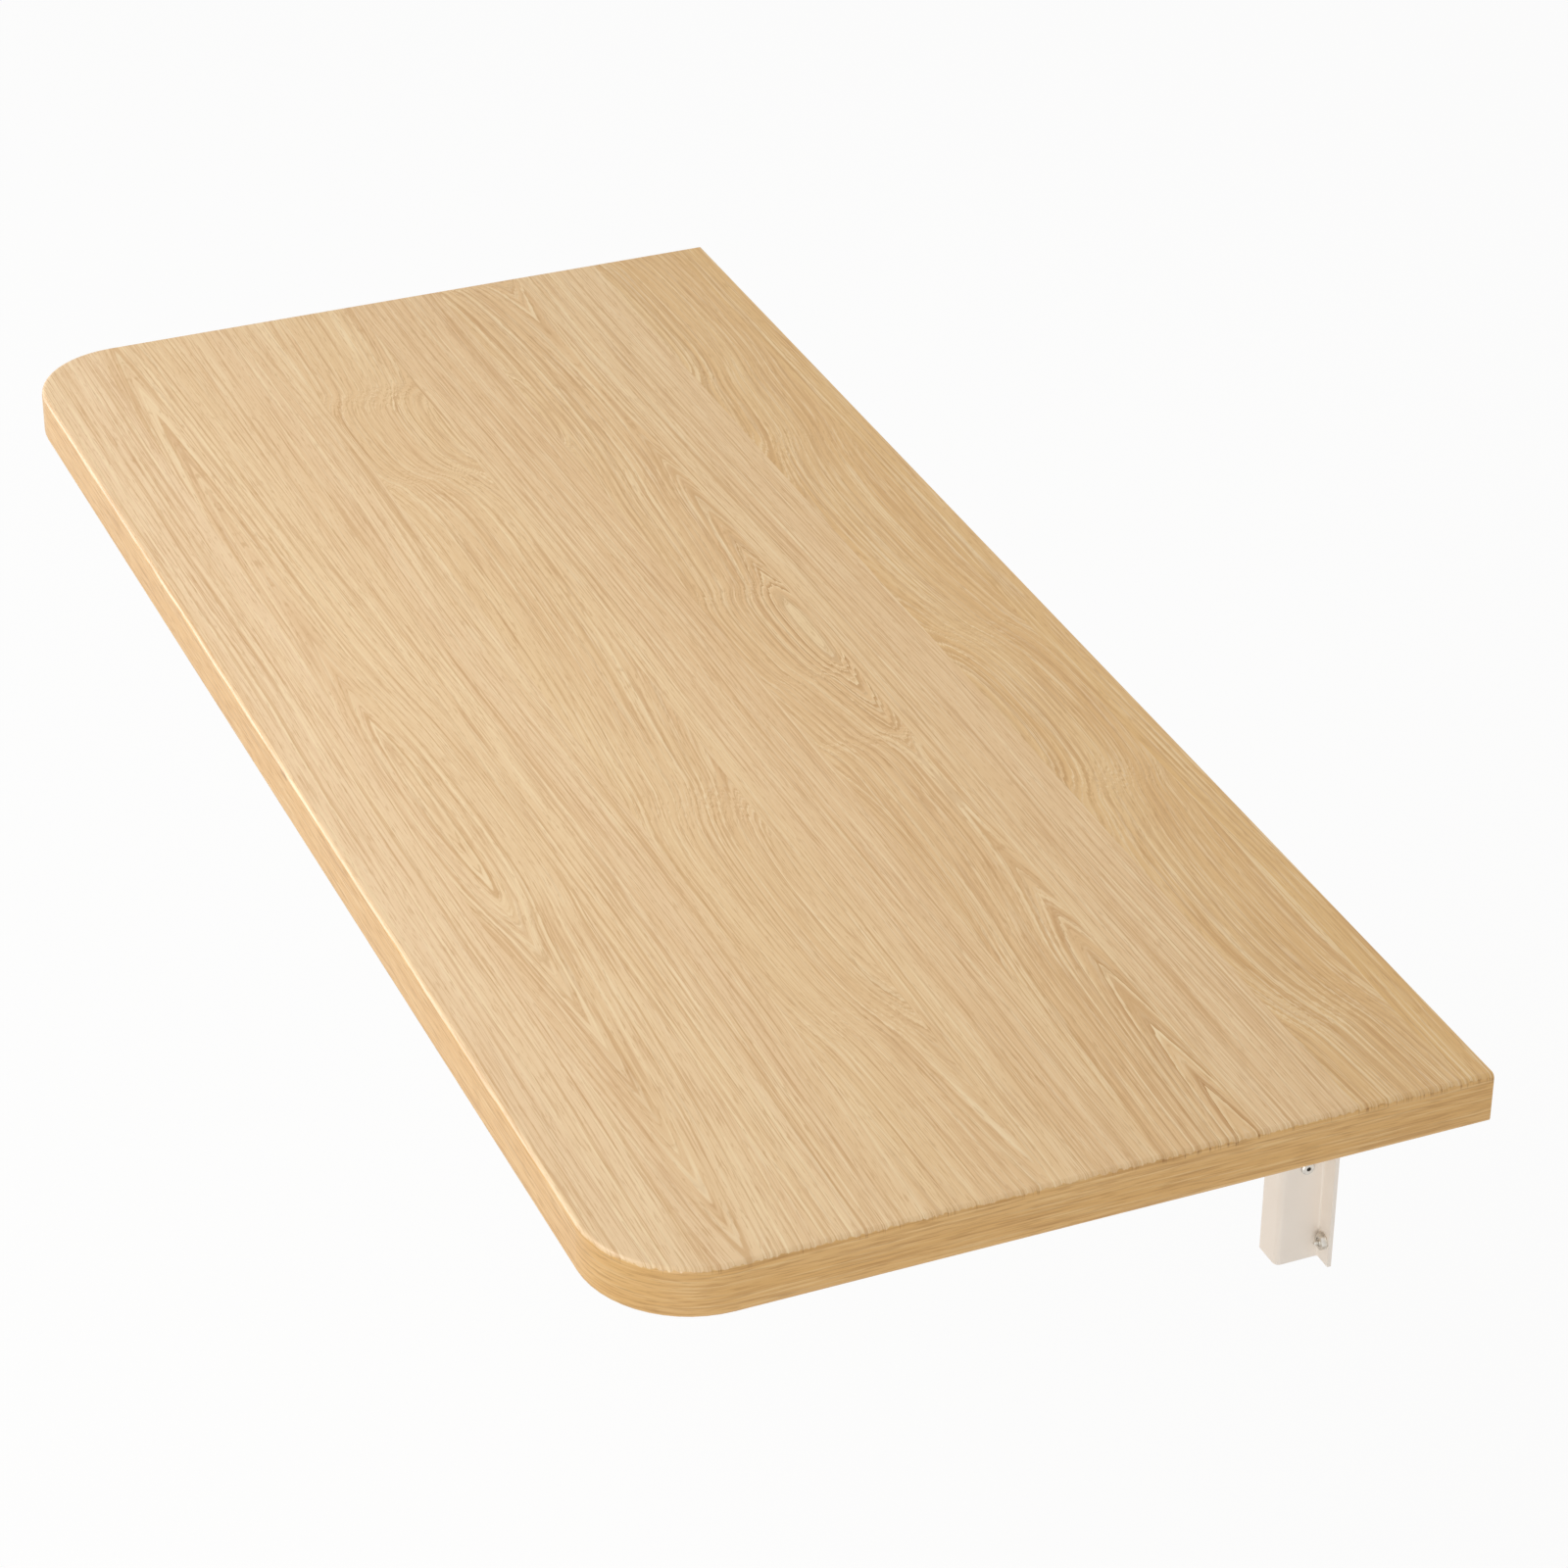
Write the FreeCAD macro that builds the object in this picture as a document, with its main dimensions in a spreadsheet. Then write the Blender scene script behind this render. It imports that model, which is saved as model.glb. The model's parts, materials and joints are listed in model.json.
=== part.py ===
"""A wall mounted drop leaf table: a wood-grain leaf on two folding brackets that drop flat to the wall.

X runs along the wall, Y into the wall, Z up. The origin is on the wall, in the middle of the four
outer wall holes. Each bracket is a wall leg and an arm of top-hat channel on one hinge pin, with a
brace of two links that fold at a knee. All lengths are millimetres, at rest with the leaf level.
"""
import FreeCAD, Part
import math
import os

import Sketcher
from FreeCAD import Vector

SIZES = (
    # Leaf: core board between two laminates, with a band on each edge
    ("leaf_length", "900"),
    ("leaf_depth", "400"),
    ("wall_gap", "1"),
    ("core_thickness", "24"),
    ("laminate_thickness", "0.5"),
    ("band_thickness", "3"),
    ("back_band_thickness", "1"),
    ("corner_radius", "50"),
    ("edge_round", "2.4"),
    ("edge_round_limit_share", "0.9"),
    # Channels of the brackets, bent from sheet
    ("bracket_inset", "140"),
    ("sheet_thickness", "2"),
    ("bend_radius", "1"),
    ("hat_depth", "24"),
    ("leg_width", "18"),
    ("flange_width", "10"),
    ("side_clearance", "0.3"),
    ("fold_gap", "3"),
    ("leg_drop", "136.5"),
    ("arm_reach", "325"),
    ("ear_radius", "8"),
    ("web_setback", "12"),
    ("slot_width", "12"),
    ("leg_slot_margin", "3"),
    ("arm_slot_margin", "3.5"),
    ("arm_nose_setback", "26"),
    ("arm_nose_lip", "6"),
    # Wall holes in the leg's flanges, with a washer and a nut on each
    ("wall_hole_radius", "2.25"),
    ("hole_row_spacing", "104"),
    ("hole_end_margin", "12"),
    ("washer_radius", "4"),
    ("washer_thickness", "0.5"),
    ("nut_width", "7"),
    ("nut_height", "2.4"),
    ("nut_bore_radius", "2.1"),
    # Screws that hold the arm to the leaf
    ("screw_radius", "2"),
    ("screw_length", "16"),
    ("screw_point", "4"),
    ("screw_head_radius", "3.6"),
    ("screw_head_height", "2.2"),
    ("screw_head_chamfer", "1.2"),
    ("screw_recess_width", "0.9"),
    ("screw_recess_length", "3.6"),
    ("screw_recess_depth", "1.2"),
    ("screw_clearance", "0.1"),
    ("first_screw", "40"),
    ("screw_pitch", "120"),
    # Pivots of the folding brace
    ("pivot_set", "10.8"),
    ("foot_pivot_drop", "83.6"),
    ("arm_pivot_reach", "170"),
    ("lower_link_span", "61.8"),
    ("running_clearance", "0.05"),
    ("end_play", "0.2"),
    # Links of the brace
    ("link_half_height", "6.5"),
    ("knee_boss_radius", "8"),
    ("lower_link_thickness", "5"),
    ("upper_plate_thickness", "1.5"),
    ("link_side_play", "0.5"),
    # Stop above the lower link that keeps the brace from bending the wrong way
    ("stop_ear_radius", "5.5"),
    ("stop_sleeve_radius", "3"),
    ("stop_setback", "12"),
    ("stop_gap", "0.2"),
    # Pins and rivets, all tubular
    ("hinge_pin_radius", "3"),
    ("hinge_head_radius", "5"),
    ("hinge_head_height", "1.6"),
    ("hinge_bore_radius", "1.5"),
    ("pivot_pin_radius", "2.1"),
    ("pivot_head_radius", "3.3"),
    ("pivot_head_height", "1.3"),
    ("pivot_bore_radius", "1.1"),
    ("knee_head_height", "1"),
    ("stop_pin_radius", "1.5"),
    ("stop_head_radius", "2.6"),
    ("stop_head_height", "0.9"),
    ("stop_bore_radius", "0.7"),
    ("head_chamfer", "0.5"),
    ("spacer_radius", "4"),
    # Cuts run past what they cut by this much
    ("overrun", "1"),
)

SCREWS_ALONG_ARM = 3
WALL_HOLE_ROWS = 2

# Places and fits that several pieces share, worked out from the sizes
FITS = (
    ("leaf_thickness", "=sizes.core_thickness + 2 * sizes.laminate_thickness"),
    ("half_length", "=sizes.leaf_length / 2"),
    ("bracket_x", "=half_length - sizes.bracket_inset"),
    ("back_y", "=-sizes.wall_gap"),
    ("front_y", "=back_y - sizes.leaf_depth"),
    ("core_back_y", "=back_y - sizes.back_band_thickness"),
    ("core_front_y", "=front_y + sizes.band_thickness"),
    ("core_half_length", "=half_length - sizes.band_thickness"),
    ("core_corner_radius", "=sizes.corner_radius - sizes.band_thickness"),
    ("hinge_out", "=sizes.hat_depth + sizes.fold_gap / 2"),
    ("hinge_y", "=-hinge_out"),
    ("hinge_z", "=sizes.leg_drop - sizes.hole_end_margin - sizes.hole_row_spacing / 2"),
    ("leg_end_z", "=hinge_z - sizes.leg_drop"),
    ("underside_z", "=hinge_z + hinge_out"),
    ("bend_outer", "=sizes.bend_radius + sizes.sheet_thickness"),
    ("leg_half", "=sizes.leg_width / 2"),
    ("leg_inner", "=leg_half - sizes.sheet_thickness"),
    ("arm_inner", "=leg_half + sizes.side_clearance"),
    ("arm_half", "=arm_inner + sizes.sheet_thickness"),
    ("arm_end_y", "=hinge_y - sizes.arm_reach"),
    ("arm_web_z", "=underside_z - sizes.hat_depth"),
    ("wall_hole_x", "=leg_half + sizes.flange_width / 2"),
    ("arm_screw_x", "=arm_half + sizes.flange_width / 2"),
    ("arm_screw_y", "=hinge_y - sizes.first_screw"),
    ("flange_face_z", "=underside_z - sizes.sheet_thickness"),
    ("foot_y", "=-sizes.pivot_set"),
    ("foot_z", "=hinge_z - sizes.foot_pivot_drop"),
    ("pivot_y", "=hinge_y - sizes.arm_pivot_reach"),
    ("pivot_z", "=underside_z - sizes.pivot_set"),
    ("brace_length", "=sqrt((pivot_y - foot_y)^2 + (pivot_z - foot_z)^2)"),
    ("along_y", "=(pivot_y - foot_y) / brace_length"),
    ("along_z", "=(pivot_z - foot_z) / brace_length"),
    ("knee_y", "=foot_y + along_y * sizes.lower_link_span"),
    ("knee_z", "=foot_z + along_z * sizes.lower_link_span"),
    ("lower_half", "=sizes.lower_link_thickness / 2"),
    ("plate_inner", "=lower_half + sizes.link_side_play"),
    ("plate_outer", "=plate_inner + sizes.upper_plate_thickness"),
    ("stop_up", "=sizes.link_half_height + sizes.stop_gap + sizes.stop_sleeve_radius"),
)

doc = FreeCAD.newDocument("drop_leaf_table")
subparts = []


def make_sheet(name, rows):
    """One spreadsheet row per size: its name beside its value, with the name as the cell's alias."""
    made = doc.addObject("Spreadsheet::Sheet", name)
    for row, (alias, content) in enumerate(rows, start=1):
        made.set(f"A{row}", alias)
        made.set(f"B{row}", content)
        made.setAlias(f"B{row}", alias)
    return made


sizes = make_sheet("sizes", SIZES)
doc.recompute()
fits = make_sheet("fits", FITS)
doc.recompute()


def number(expression):
    """The value of an expression now, to draw a sketch where its constraints will hold it."""
    return float(sizes.evalExpression(expression))


def make_body(label, x="0", y="0", z="0"):
    """A sub-part's body, placed by expressions."""
    body = doc.addObject("PartDesign::Body", label)
    body.Label = label
    body.AllowCompound = True
    body.setExpression("Placement.Base.x", x)
    body.setExpression("Placement.Base.y", y)
    body.setExpression("Placement.Base.z", z)
    subparts.append(body)
    return body


def origin_feature(body, role):
    return next(feature for feature in body.Origin.OriginFeatures if feature.Role == role)


def sketch_on(body, role, offset="0"):
    """An empty sketch on one of the body's planes, moved along the plane's normal by an expression."""
    sketch = body.newObject("Sketcher::SketchObject", f"{body.Name}_sketch")
    sketch.AttachmentSupport = [(origin_feature(body, role), "")]
    sketch.MapMode = "FlatFace"
    sketch.setExpression("AttachmentOffset.Base.z", offset)
    return sketch


def bind(sketch, constraint, expression):
    """Adds a constraint whose value follows an expression."""
    index = sketch.addConstraint(constraint)
    sketch.setExpression(f"Constraints[{index}]", expression)


def fix_point(sketch, geometry, point, across, up):
    """Holds a point of the sketch at a place given by two expressions."""
    bind(sketch, Sketcher.Constraint("DistanceX", -1, 1, geometry, point, number(across)), across)
    bind(sketch, Sketcher.Constraint("DistanceY", -1, 1, geometry, point, number(up)), up)


def add_outline(sketch, corners):
    """A closed outline of straight sides. A third value rounds a corner whose sides follow the axes."""
    stations = []
    for place, corner in enumerate(corners):
        across, up = corner[:2]
        if len(corner) == 2:
            stations.append([(across, up)])
            continue
        radius = corner[2]
        pair = []
        for other in (corners[place - 1], corners[(place + 1) % len(corners)]):
            step_across = number(other[0]) - number(across)
            step_up = number(other[1]) - number(up)
            if abs(step_across) > abs(step_up):
                pair.append((f"({across}) {'+' if step_across > 0 else '-'} ({radius})", up))
            else:
                pair.append((across, f"({up}) {'+' if step_up > 0 else '-'} ({radius})"))
        stations.append(pair)
    for place, station in enumerate(stations):
        following = stations[(place + 1) % len(stations)]
        start = Vector(number(station[-1][0]), number(station[-1][1]), 0)
        end = Vector(number(following[0][0]), number(following[0][1]), 0)
        line = sketch.addGeometry(Part.LineSegment(start, end), False)
        fix_point(sketch, line, 1, *station[-1])
        fix_point(sketch, line, 2, *following[0])
        if len(station) == 2:
            add_corner_arc(sketch, station, corners[place])


def add_corner_arc(sketch, station, corner):
    """The quarter round between the two ends of a rounded corner."""
    start = Vector(number(station[0][0]), number(station[0][1]), 0)
    end = Vector(number(station[1][0]), number(station[1][1]), 0)
    sharp = Vector(number(corner[0]), number(corner[1]), 0)
    centre = start + end - sharp
    radius = number(corner[2])
    middle = centre + (sharp - centre).normalize() * radius
    arc = sketch.addGeometry(Part.Arc(start, middle, end), False)
    turned = (start - centre).cross(end - centre).z > 0
    fix_point(sketch, arc, 1 if turned else 2, *station[0])
    fix_point(sketch, arc, 2 if turned else 1, *station[1])
    bind(sketch, Sketcher.Constraint("Radius", arc, radius), corner[2])


def add_circle(sketch, across, up, radius):
    centre = Vector(number(across), number(up), 0)
    circle = sketch.addGeometry(Part.Circle(centre, Vector(0, 0, 1), number(radius)), False)
    fix_point(sketch, circle, 3, across, up)
    bind(sketch, Sketcher.Constraint("Radius", circle, number(radius)), radius)


def add_slot(sketch, first, last, radius):
    """A closed outline of two half rounds about two points, joined by tangent lines."""
    one = Vector(number(first[0]), number(first[1]), 0)
    two = Vector(number(last[0]), number(last[1]), 0)
    reach = number(radius)
    along = (two - one).normalize() * reach
    side = Vector(-along.y, along.x, 0)
    near = sketch.addGeometry(Part.Arc(one + side, one - along, one - side), False)
    lower = sketch.addGeometry(Part.LineSegment(one - side, two - side), False)
    far = sketch.addGeometry(Part.Arc(two - side, two + along, two + side), False)
    upper = sketch.addGeometry(Part.LineSegment(two + side, one + side), False)
    for earlier, later in ((near, lower), (lower, far), (far, upper), (upper, near)):
        sketch.addConstraint(Sketcher.Constraint("Tangent", earlier, 2, later, 1))
    fix_point(sketch, near, 3, *first)
    fix_point(sketch, far, 3, *last)
    sketch.addConstraint(Sketcher.Constraint("Equal", near, far))
    bind(sketch, Sketcher.Constraint("Radius", near, reach), radius)


def pad(body, sketch, length, symmetric=False):
    feature = body.newObject("PartDesign::Pad", f"{body.Name}_pad")
    feature.Profile = sketch
    feature.SideType = "Symmetric" if symmetric else "One side"
    feature.setExpression("Length", length)
    body.Tip = feature
    return feature


def cut_through(body, sketch):
    """Cuts the sketch's outlines right through the body, both ways."""
    feature = body.newObject("PartDesign::Pocket", f"{body.Name}_cut")
    feature.Profile = sketch
    feature.SideType = "Symmetric"
    feature.Type = "ThroughAll"
    body.Tip = feature
    return feature


def cut_upwards(body, sketch, depth):
    """Cuts along the sketch's own normal to a depth."""
    feature = body.newObject("PartDesign::Pocket", f"{body.Name}_recess")
    feature.Profile = sketch
    feature.Reversed = True
    feature.setExpression("Length", depth)
    body.Tip = feature
    return feature


def revolve(body, sketch, axis):
    feature = body.newObject("PartDesign::Revolution", f"{body.Name}_turned")
    feature.Profile = sketch
    feature.ReferenceAxis = (sketch, [axis])
    feature.Angle = 360
    body.Tip = feature
    return feature


def repeat(body, originals, role, extent, count, second_role, second_extent, second_count):
    """Copies features on a grid along two of the body's axes."""
    feature = body.newObject("PartDesign::LinearPattern", f"{body.Name}_grid")
    feature.Originals = originals
    feature.Direction = (origin_feature(body, role), [""])
    feature.setExpression("Length", extent)
    feature.Occurrences = count
    feature.Direction2 = (origin_feature(body, second_role), [""])
    feature.setExpression("Length2", second_extent)
    feature.Occurrences2 = second_count
    body.Tip = feature
    return feature


def mirror_sideways(body, originals):
    feature = body.newObject("PartDesign::Mirrored", f"{body.Name}_mirrored")
    feature.Originals = originals
    feature.MirrorPlane = (origin_feature(body, "YZ_Plane"), [""])
    body.Tip = feature
    return feature


def on_brace(ahead, up):
    """A place on the brace: ahead of the knee towards the arm, and up from its centre line."""
    across = f"fits.knee_y + ({ahead}) * fits.along_y + ({up}) * fits.along_z"
    height = f"fits.knee_z + ({ahead}) * fits.along_z - ({up}) * fits.along_y"
    return across, height


# Leaf


def board_corners():
    """The board inside the bands: square corners at the wall, round ones in front."""
    return (
        ("-fits.core_half_length", "fits.core_back_y"),
        ("-fits.core_half_length", "fits.core_front_y", "fits.core_corner_radius"),
        ("fits.core_half_length", "fits.core_front_y", "fits.core_corner_radius"),
        ("fits.core_half_length", "fits.core_back_y"),
    )


def screw_places():
    """Every arm screw's place, seen from above."""
    places = []
    for side in ("-", ""):
        for flange in ("-", "+"):
            for row in range(SCREWS_ALONG_ARM):
                across = f"{side}fits.bracket_x {flange} fits.arm_screw_x"
                places.append((across, f"fits.arm_screw_y - {row} * sizes.screw_pitch"))
    return places


def make_board(label, bottom, thickness, hole_radius=None, hole_depth=None):
    """One sheet of the leaf, with the screws' holes in its underside."""
    body = make_body(label)
    outline = sketch_on(body, "XY_Plane", bottom)
    add_outline(outline, board_corners())
    pad(body, outline, thickness)
    if hole_radius:
        doc.recompute()
        whole = body.Shape.Volume
        holes = sketch_on(body, "XY_Plane", bottom)
        for across, up in screw_places():
            add_circle(holes, across, up, hole_radius)
        cut_upwards(body, holes, hole_depth)
        doc.recompute()
        if not body.Shape.Volume < whole:
            raise ValueError(f"{label}: the screw holes cut nothing")
    return body


def make_edge_band():
    """One strip round the two ends and the front, with its outer edges rounded over."""
    body = make_body("edge_band")
    outline = sketch_on(body, "XY_Plane", "fits.underside_z")
    outer = (
        ("-fits.half_length", "fits.back_y"),
        ("-fits.half_length", "fits.front_y", "sizes.corner_radius"),
        ("fits.half_length", "fits.front_y", "sizes.corner_radius"),
        ("fits.half_length", "fits.back_y"),
    )
    inner = (
        ("fits.core_half_length", "fits.back_y"),
        ("fits.core_half_length", "fits.core_front_y", "fits.core_corner_radius"),
        ("-fits.core_half_length", "fits.core_front_y", "fits.core_corner_radius"),
        ("-fits.core_half_length", "fits.back_y"),
    )
    add_outline(outline, outer + inner)
    strip = pad(body, outline, "fits.leaf_thickness")
    doc.recompute()
    board = [number(f"fits.core_{name}") for name in ("half_length", "front_y", "corner_radius")]
    names = []
    for index, edge in enumerate(strip.Shape.Edges, start=1):
        middle = edge.valueAt((edge.FirstParameter + edge.LastParameter) / 2)
        level = edge.BoundBox.ZLength < edge.Length / 2
        along_back = abs(middle.y - number("fits.back_y")) < number("sizes.back_band_thickness") / 2
        if level and not along_back and outside_board(middle, *board):
            names.append(f"Edge{index}")
    rounded = body.newObject("PartDesign::Fillet", "edge_band_round")
    rounded.Base = (strip, names)
    limit = "sizes.band_thickness * sizes.edge_round_limit_share"
    rounded.setExpression("Radius", f"min(sizes.edge_round; {limit})")
    body.Tip = rounded


def outside_board(point, half_length, front, radius):
    """Whether a point of the band lies on its outer side, half a band or more clear of the board."""
    past = max(abs(point.x) - half_length, front - point.y)
    corner_x = abs(point.x) - (half_length - radius)
    corner_y = front + radius - point.y
    if corner_x > 0 and corner_y > 0:
        past = math.hypot(corner_x, corner_y) - radius
    return past > number("sizes.band_thickness") / 2


def make_back_band():
    """The thin straight band on the wall edge, between the ends of the other band."""
    strip = doc.addObject("Part::Box", "back_edge_band")
    strip.Label = "back_edge_band"
    strip.setExpression("Length", "2 * fits.core_half_length")
    strip.setExpression("Width", "sizes.back_band_thickness")
    strip.setExpression("Height", "fits.leaf_thickness")
    strip.setExpression("Placement.Base.x", "-fits.core_half_length")
    strip.setExpression("Placement.Base.y", "fits.core_back_y")
    strip.setExpression("Placement.Base.z", "fits.underside_z")
    subparts.append(strip)


def make_leaf():
    core_bottom = "fits.underside_z + sizes.laminate_thickness"
    core_top = f"{core_bottom} + sizes.core_thickness"
    hole = "sizes.screw_radius + sizes.screw_clearance"
    depth = "sizes.screw_length - sizes.sheet_thickness - sizes.laminate_thickness + sizes.end_play"
    make_board("leaf_core", core_bottom, "sizes.core_thickness", hole, depth)
    laminate = "sizes.laminate_thickness"
    make_board("bottom_laminate", "fits.underside_z", laminate, hole, laminate)
    make_board("top_laminate", core_top, laminate)
    make_edge_band()
    make_back_band()


# Channels


def hat_corners(half, inner, tip, base, front):
    """Section of a top-hat channel: flanges on the base line, side walls, and a web on the front line."""
    tight = "sizes.bend_radius"
    wide = "fits.bend_outer"
    raised = f"{base} - sizes.sheet_thickness"
    under_web = f"{front} + sizes.sheet_thickness"
    return (
        (tip, base),
        (tip, raised),
        (half, raised, tight),
        (half, front, wide),
        (f"-{half}", front, wide),
        (f"-{half}", raised, tight),
        (f"-({tip})", raised),
        (f"-({tip})", base),
        (f"-{inner}", base, wide),
        (f"-{inner}", under_web, tight),
        (inner, under_web, tight),
        (inner, base, wide),
    )


def add_ears(body, corners, centre, inner):
    """Two side plates that carry the channel past its web to a round end about the hinge pin."""
    plate = sketch_on(body, "YZ_Plane", inner)
    add_outline(plate, corners)
    plate_pad = pad(body, plate, "sizes.sheet_thickness")
    tip = sketch_on(body, "YZ_Plane", inner)
    add_circle(tip, *centre, "sizes.ear_radius")
    tip_pad = pad(body, tip, "sizes.sheet_thickness")
    mirror_sideways(body, [plate_pad, tip_pad])


def make_wall_leg(side, x):
    """The upright channel: flanges on the wall, web in front, slotted for the lower link."""
    body = make_body(f"{side}_wall_leg", x)
    front = "-sizes.hat_depth"
    top = "fits.hinge_z + sizes.ear_radius"
    web_top = "fits.hinge_z - sizes.web_setback"
    wall_end = "-sizes.hat_depth + fits.bend_outer"
    section = sketch_on(body, "XY_Plane", "fits.leg_end_z")
    tip = "fits.leg_half + sizes.flange_width"
    add_outline(section, hat_corners("fits.leg_half", "fits.leg_inner", tip, "0", front))
    pad(body, section, "sizes.leg_drop + sizes.ear_radius")
    clearing = sketch_on(body, "YZ_Plane")
    add_outline(
        clearing,
        (
            (wall_end, web_top),
            (wall_end, f"{top} + sizes.overrun"),
            (f"{front} - sizes.overrun", f"{top} + sizes.overrun"),
            (f"{front} - sizes.overrun", web_top),
        ),
    )
    cut_through(body, clearing)
    cheek = (
        (f"{wall_end} + sizes.overrun", web_top),
        (f"{wall_end} + sizes.overrun", top),
        ("fits.hinge_y", top),
        ("fits.hinge_y", "fits.hinge_z - sizes.ear_radius"),
        (front, web_top),
    )
    add_ears(body, cheek, ("fits.hinge_y", "fits.hinge_z"), "fits.leg_inner")
    slot = sketch_on(body, "XZ_Plane")
    slot_half = "sizes.slot_width / 2"
    slot_bottom = "fits.foot_z - sizes.leg_slot_margin"
    add_outline(
        slot,
        (
            (slot_half, f"{web_top} + sizes.overrun"),
            (f"-{slot_half}", f"{web_top} + sizes.overrun"),
            (f"-{slot_half}", slot_bottom, f"{slot_half} - sizes.bend_radius"),
            (slot_half, slot_bottom, f"{slot_half} - sizes.bend_radius"),
        ),
    )
    cut_through(body, slot)
    bores = sketch_on(body, "YZ_Plane")
    add_circle(bores, "fits.hinge_y", "fits.hinge_z", "sizes.hinge_pin_radius + sizes.running_clearance")
    add_circle(bores, "fits.foot_y", "fits.foot_z", "sizes.pivot_pin_radius + sizes.running_clearance")
    cut_through(body, bores)
    holes = sketch_on(body, "XZ_Plane")
    for across in ("-fits.wall_hole_x", "fits.wall_hole_x"):
        for row in ("-sizes.hole_row_spacing / 2", "sizes.hole_row_spacing / 2"):
            add_circle(holes, across, row, "sizes.wall_hole_radius")
    cut_through(body, holes)


def make_arm(side, x):
    """The level channel: flanges on the leaf, web below, a slot for the upper link, a sloped free end."""
    body = make_body(f"{side}_arm", x)
    start_y = "fits.hinge_y + sizes.ear_radius"
    web_start = "fits.hinge_y - sizes.web_setback"
    wall_end = "fits.arm_web_z + fits.bend_outer"
    section = sketch_on(body, "XZ_Plane", f"-({start_y})")
    tip = "fits.arm_half + sizes.flange_width"
    corners = hat_corners("fits.arm_half", "fits.arm_inner", tip, "fits.underside_z", "fits.arm_web_z")
    add_outline(section, corners)
    pad(body, section, "sizes.arm_reach + sizes.ear_radius")
    clearing = sketch_on(body, "YZ_Plane")
    add_outline(
        clearing,
        (
            (web_start, wall_end),
            (f"{start_y} + sizes.overrun", wall_end),
            (f"{start_y} + sizes.overrun", "fits.arm_web_z - sizes.overrun"),
            (web_start, "fits.arm_web_z - sizes.overrun"),
        ),
    )
    cut_through(body, clearing)
    cheek = (
        (web_start, f"{wall_end} + sizes.overrun"),
        (start_y, f"{wall_end} + sizes.overrun"),
        (start_y, "fits.hinge_z"),
        ("fits.hinge_y - sizes.ear_radius", "fits.hinge_z"),
        (web_start, "fits.arm_web_z"),
    )
    add_ears(body, cheek, ("fits.hinge_y", "fits.hinge_z"), "fits.arm_inner")
    slot = sketch_on(body, "XY_Plane")
    slot_half = "sizes.slot_width / 2"
    slot_end = "fits.pivot_y + sizes.arm_slot_margin"
    add_outline(
        slot,
        (
            (slot_half, f"{web_start} + sizes.overrun"),
            (f"-{slot_half}", f"{web_start} + sizes.overrun"),
            (f"-{slot_half}", slot_end, f"{slot_half} - sizes.bend_radius"),
            (slot_half, slot_end, f"{slot_half} - sizes.bend_radius"),
        ),
    )
    cut_through(body, slot)
    nose = sketch_on(body, "YZ_Plane")
    lip = "fits.underside_z - sizes.arm_nose_lip"
    below = "fits.arm_web_z - sizes.overrun"
    past = "fits.arm_end_y - sizes.overrun"
    add_outline(
        nose,
        (
            (past, lip),
            ("fits.arm_end_y", lip),
            ("fits.arm_end_y + sizes.arm_nose_setback", "fits.arm_web_z"),
            ("fits.arm_end_y + sizes.arm_nose_setback", below),
            (past, below),
        ),
    )
    cut_through(body, nose)
    bores = sketch_on(body, "YZ_Plane")
    add_circle(bores, "fits.hinge_y", "fits.hinge_z", "sizes.hinge_pin_radius + sizes.running_clearance")
    add_circle(bores, "fits.pivot_y", "fits.pivot_z", "sizes.pivot_pin_radius + sizes.running_clearance")
    cut_through(body, bores)
    holes = sketch_on(body, "XY_Plane")
    for across in ("-fits.arm_screw_x", "fits.arm_screw_x"):
        for row in range(SCREWS_ALONG_ARM):
            place = f"fits.arm_screw_y - {row} * sizes.screw_pitch"
            add_circle(holes, across, place, "sizes.screw_radius + sizes.screw_clearance")
    cut_through(body, holes)


# Folding brace


def make_upper_link(side, x):
    """Two equal plates from the arm to the knee, each with an ear past the knee for the stop."""
    body = make_body(f"{side}_upper_link", x)
    arm_end = ("fits.pivot_y", "fits.pivot_z")
    knee = ("fits.knee_y", "fits.knee_z")
    stop = on_brace("-sizes.stop_setback", "fits.stop_up")
    strip = sketch_on(body, "YZ_Plane", "fits.plate_inner")
    add_slot(strip, knee, arm_end, "sizes.link_half_height")
    boss = sketch_on(body, "YZ_Plane", "fits.plate_inner")
    add_circle(boss, *knee, "sizes.knee_boss_radius")
    ear = sketch_on(body, "YZ_Plane", "fits.plate_inner")
    add_slot(ear, knee, stop, "sizes.stop_ear_radius")
    plates = [pad(body, sketch, "sizes.upper_plate_thickness") for sketch in (strip, boss, ear)]
    mirror_sideways(body, plates)
    bores = sketch_on(body, "YZ_Plane")
    add_circle(bores, *knee, "sizes.pivot_pin_radius + sizes.running_clearance")
    add_circle(bores, *arm_end, "sizes.pivot_pin_radius + sizes.running_clearance")
    add_circle(bores, *stop, "sizes.stop_pin_radius + sizes.running_clearance")
    cut_through(body, bores)


def make_lower_link(side, x):
    """One thick bar from the leg to the knee, between the plates of the upper link."""
    body = make_body(f"{side}_lower_link", x)
    foot = ("fits.foot_y", "fits.foot_z")
    knee = ("fits.knee_y", "fits.knee_z")
    strip = sketch_on(body, "YZ_Plane")
    add_slot(strip, foot, knee, "sizes.link_half_height")
    pad(body, strip, "sizes.lower_link_thickness", symmetric=True)
    bores = sketch_on(body, "YZ_Plane")
    add_circle(bores, *foot, "sizes.pivot_pin_radius + sizes.running_clearance")
    add_circle(bores, *knee, "sizes.pivot_pin_radius + sizes.running_clearance")
    cut_through(body, bores)


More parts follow.
